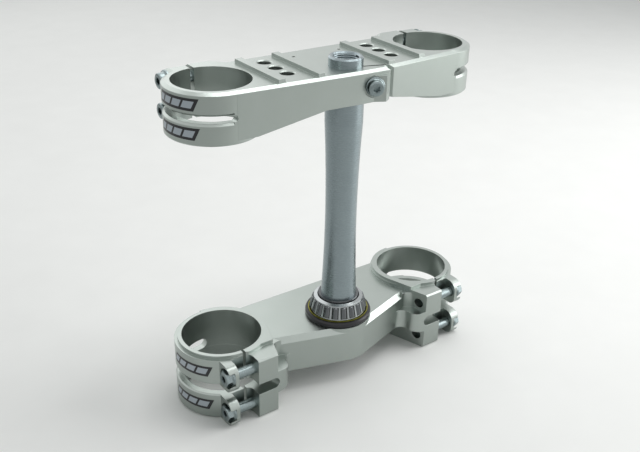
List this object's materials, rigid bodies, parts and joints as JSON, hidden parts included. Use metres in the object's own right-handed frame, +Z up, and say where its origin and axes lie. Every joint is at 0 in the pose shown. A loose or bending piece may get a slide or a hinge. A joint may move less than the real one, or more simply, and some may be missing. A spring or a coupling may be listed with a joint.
{
  "type": "motorcycle triple clamp",
  "caption": "Upper and lower split fork clamps joined by a hollow steering stem with an open tapered roller bearing and dust seal.",
  "frame": {"origin": "middle of the steering stem's foot, flush with the underside of the lower arm", "axes": "+Z up along the steering axis, +Y forward to the fork side, +X to the rider's right"},
  "size_m": [0.26, 0.0878, 0.259],
  "materials": {
    "clamp_alloy": "satin anodised",
    "stem_steel": "turned and polished",
    "bearing_steel": "ground",
    "cage_steel": "pressed, bright",
    "seal_rubber": "smooth",
    "plated_ring": "yellow plated",
    "screw_steel": "zinc-nickel plated"
  },
  "bodies": {
    "clamp_frame": {"upper_clamp": "clamp_alloy", "lower_clamp": "clamp_alloy", "steering_stem": "stem_steel", "bearing_inner_ring": "bearing_steel", "dust_seal": "seal_rubber", "seal_ring": "plated_ring", "upper_fork_screws": "screw_steel", "lower_fork_screws": "screw_steel", "stem_pinch_screw": "screw_steel"},
    "cage": {"bearing_cage": "cage_steel"},
    "roller_01": {"bearing_roller_01": "bearing_steel"},
    "roller_02": {"bearing_roller_02": "bearing_steel"},
    "roller_03": {"bearing_roller_03": "bearing_steel"},
    "roller_04": {"bearing_roller_04": "bearing_steel"},
    "roller_05": {"bearing_roller_05": "bearing_steel"},
    "roller_06": {"bearing_roller_06": "bearing_steel"},
    "roller_07": {"bearing_roller_07": "bearing_steel"},
    "roller_08": {"bearing_roller_08": "bearing_steel"},
    "roller_09": {"bearing_roller_09": "bearing_steel"},
    "roller_10": {"bearing_roller_10": "bearing_steel"},
    "roller_11": {"bearing_roller_11": "bearing_steel"},
    "roller_12": {"bearing_roller_12": "bearing_steel"},
    "roller_13": {"bearing_roller_13": "bearing_steel"},
    "roller_14": {"bearing_roller_14": "bearing_steel"},
    "roller_15": {"bearing_roller_15": "bearing_steel"},
    "roller_16": {"bearing_roller_16": "bearing_steel"},
    "roller_17": {"bearing_roller_17": "bearing_steel"},
    "roller_18": {"bearing_roller_18": "bearing_steel"},
    "roller_19": {"bearing_roller_19": "bearing_steel"}
  },
  "joints": [
    {"name": "cage_spin", "type": "hinge", "parent": "clamp_frame", "child": "cage", "pos_m": [0, 0, 0.041], "axis": [0, 0, 1], "continuous": true},
    {"name": "roller_01_spin", "type": "hinge", "parent": "cage", "child": "roller_01", "pos_m": [0, 0, 0.11761], "axis": [-0.2419, 0, 0.9703], "continuous": true},
    {"name": "roller_02_spin", "type": "hinge", "parent": "cage", "child": "roller_02", "pos_m": [0, 0, 0.11761], "axis": [-0.2288, -0.0786, 0.9703], "continuous": true},
    {"name": "roller_03_spin", "type": "hinge", "parent": "cage", "child": "roller_03", "pos_m": [0, 0, 0.11761], "axis": [-0.1909, -0.1486, 0.9703], "continuous": true},
    {"name": "roller_04_spin", "type": "hinge", "parent": "cage", "child": "roller_04", "pos_m": [0, 0, 0.11761], "axis": [-0.1323, -0.2025, 0.9703], "continuous": true},
    {"name": "roller_05_spin", "type": "hinge", "parent": "cage", "child": "roller_05", "pos_m": [0, 0, 0.11761], "axis": [-0.0594, -0.2345, 0.9703], "continuous": true},
    {"name": "roller_06_spin", "type": "hinge", "parent": "cage", "child": "roller_06", "pos_m": [0, 0, 0.11761], "axis": [0.02, -0.2411, 0.9703], "continuous": true},
    {"name": "roller_07_spin", "type": "hinge", "parent": "cage", "child": "roller_07", "pos_m": [0, 0, 0.11761], "axis": [0.0972, -0.2215, 0.9703], "continuous": true},
    {"name": "roller_08_spin", "type": "hinge", "parent": "cage", "child": "roller_08", "pos_m": [0, 0, 0.11761], "axis": [0.1638, -0.178, 0.9703], "continuous": true},
    {"name": "roller_09_spin", "type": "hinge", "parent": "cage", "child": "roller_09", "pos_m": [0, 0, 0.11761], "axis": [0.2128, -0.1151, 0.9703], "continuous": true},
    {"name": "roller_10_spin", "type": "hinge", "parent": "cage", "child": "roller_10", "pos_m": [0, 0, 0.11761], "axis": [0.2386, -0.0398, 0.9703], "continuous": true},
    {"name": "roller_11_spin", "type": "hinge", "parent": "cage", "child": "roller_11", "pos_m": [0, 0, 0.11761], "axis": [0.2386, 0.0398, 0.9703], "continuous": true},
    {"name": "roller_12_spin", "type": "hinge", "parent": "cage", "child": "roller_12", "pos_m": [0, 0, 0.11761], "axis": [0.2128, 0.1151, 0.9703], "continuous": true},
    {"name": "roller_13_spin", "type": "hinge", "parent": "cage", "child": "roller_13", "pos_m": [0, 0, 0.11761], "axis": [0.1638, 0.178, 0.9703], "continuous": true},
    {"name": "roller_14_spin", "type": "hinge", "parent": "cage", "child": "roller_14", "pos_m": [0, 0, 0.11761], "axis": [0.0972, 0.2215, 0.9703], "continuous": true},
    {"name": "roller_15_spin", "type": "hinge", "parent": "cage", "child": "roller_15", "pos_m": [0, 0, 0.11761], "axis": [0.02, 0.2411, 0.9703], "continuous": true},
    {"name": "roller_16_spin", "type": "hinge", "parent": "cage", "child": "roller_16", "pos_m": [0, 0, 0.11761], "axis": [-0.0594, 0.2345, 0.9703], "continuous": true},
    {"name": "roller_17_spin", "type": "hinge", "parent": "cage", "child": "roller_17", "pos_m": [0, 0, 0.11761], "axis": [-0.1323, 0.2025, 0.9703], "continuous": true},
    {"name": "roller_18_spin", "type": "hinge", "parent": "cage", "child": "roller_18", "pos_m": [0, 0, 0.11761], "axis": [-0.1909, 0.1486, 0.9703], "continuous": true},
    {"name": "roller_19_spin", "type": "hinge", "parent": "cage", "child": "roller_19", "pos_m": [0, 0, 0.11761], "axis": [-0.2288, 0.0786, 0.9703], "continuous": true}
  ]
}
